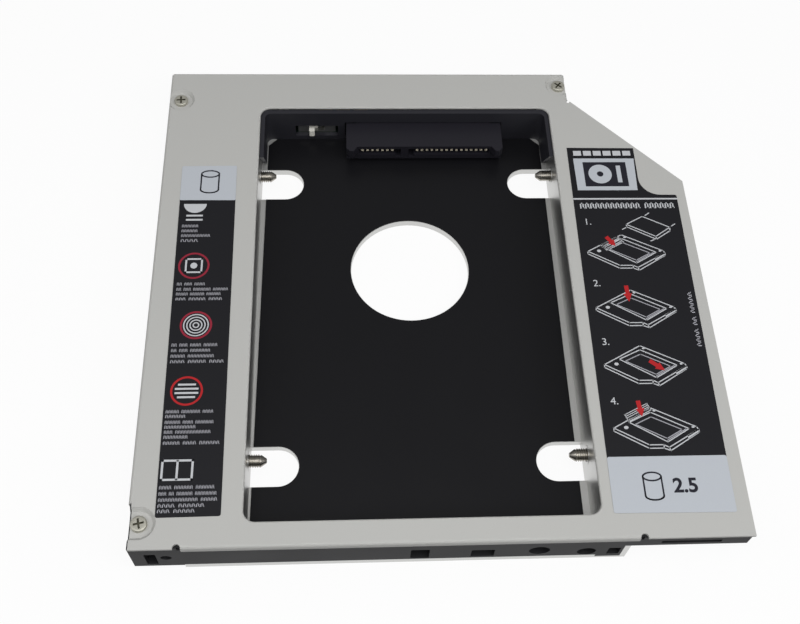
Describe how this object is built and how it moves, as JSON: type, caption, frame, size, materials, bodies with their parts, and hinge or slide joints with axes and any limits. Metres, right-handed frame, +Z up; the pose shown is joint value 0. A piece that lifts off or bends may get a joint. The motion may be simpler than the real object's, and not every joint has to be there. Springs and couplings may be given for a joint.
{
  "type": "laptop drive caddy",
  "caption": "Flat metal frame with a stepped wing and an open bay that carries a small drive in a laptop's optical drive slot.",
  "frame": {"origin": "middle of the bounding box's underside, on the plane that the flat tray rests on", "axes": "+X from the left side towards the wing, +Y from the front bar towards the rear wall, +Z up through the cover"},
  "size_m": [0.128, 0.1262, 0.0128],
  "materials": {
    "aluminium": "satin",
    "cover_sheet": "satin",
    "black_film": "gloss",
    "black_plastic": "matt",
    "screw_steel": "satin",
    "nut_steel": "satin",
    "circuit_board": "satin",
    "connector_plastic": "matt",
    "contact_gold": "polished",
    "switch_metal": "satin",
    "switch_lever": "matt",
    "capacitor": "matt",
    "label_dark": "matt",
    "label_mixed": "matt"
  },
  "bodies": {
    "caddy": {"base_tray": "aluminium", "top_cover": "cover_sheet", "bay_film": "black_film", "front_bar": "black_plastic", "cover_screws": "screw_steel", "front_bar_screws": "screw_steel", "drive_screw_nuts": "nut_steel", "circuit_board": "circuit_board", "board_screws": "screw_steel", "drive_connector": "connector_plastic", "drive_contacts": "contact_gold", "host_connector": "connector_plastic", "host_contacts": "contact_gold", "switch_frame": "switch_metal", "board_capacitors": "capacitor", "rear_holder": "black_plastic", "left_label": "label_dark", "right_label": "label_mixed"},
    "drive_screw_left_rear_body": {"drive_screw_left_rear": "screw_steel"},
    "drive_screw_left_front_body": {"drive_screw_left_front": "screw_steel"},
    "drive_screw_right_rear_body": {"drive_screw_right_rear": "screw_steel"},
    "drive_screw_right_front_body": {"drive_screw_right_front": "screw_steel"},
    "switch_lever_body": {"switch_lever": "switch_lever"}
  },
  "joints": [
    {"name": "back_out_left_rear", "type": "slide", "parent": "caddy", "child": "drive_screw_left_rear_body", "axis": [-1, 0, 0], "range_m": [0, 0.0026]},
    {"name": "back_out_left_front", "type": "slide", "parent": "caddy", "child": "drive_screw_left_front_body", "axis": [-1, 0, 0], "range_m": [0, 0.0026]},
    {"name": "back_out_right_rear", "type": "slide", "parent": "caddy", "child": "drive_screw_right_rear_body", "axis": [1, 0, 0], "range_m": [0, 0.0026]},
    {"name": "back_out_right_front", "type": "slide", "parent": "caddy", "child": "drive_screw_right_front_body", "axis": [1, 0, 0], "range_m": [0, 0.0026]},
    {"name": "switch_slide", "type": "slide", "parent": "caddy", "child": "switch_lever_body", "axis": [1, 0, 0], "range_m": [0, 0.0025]}
  ]
}
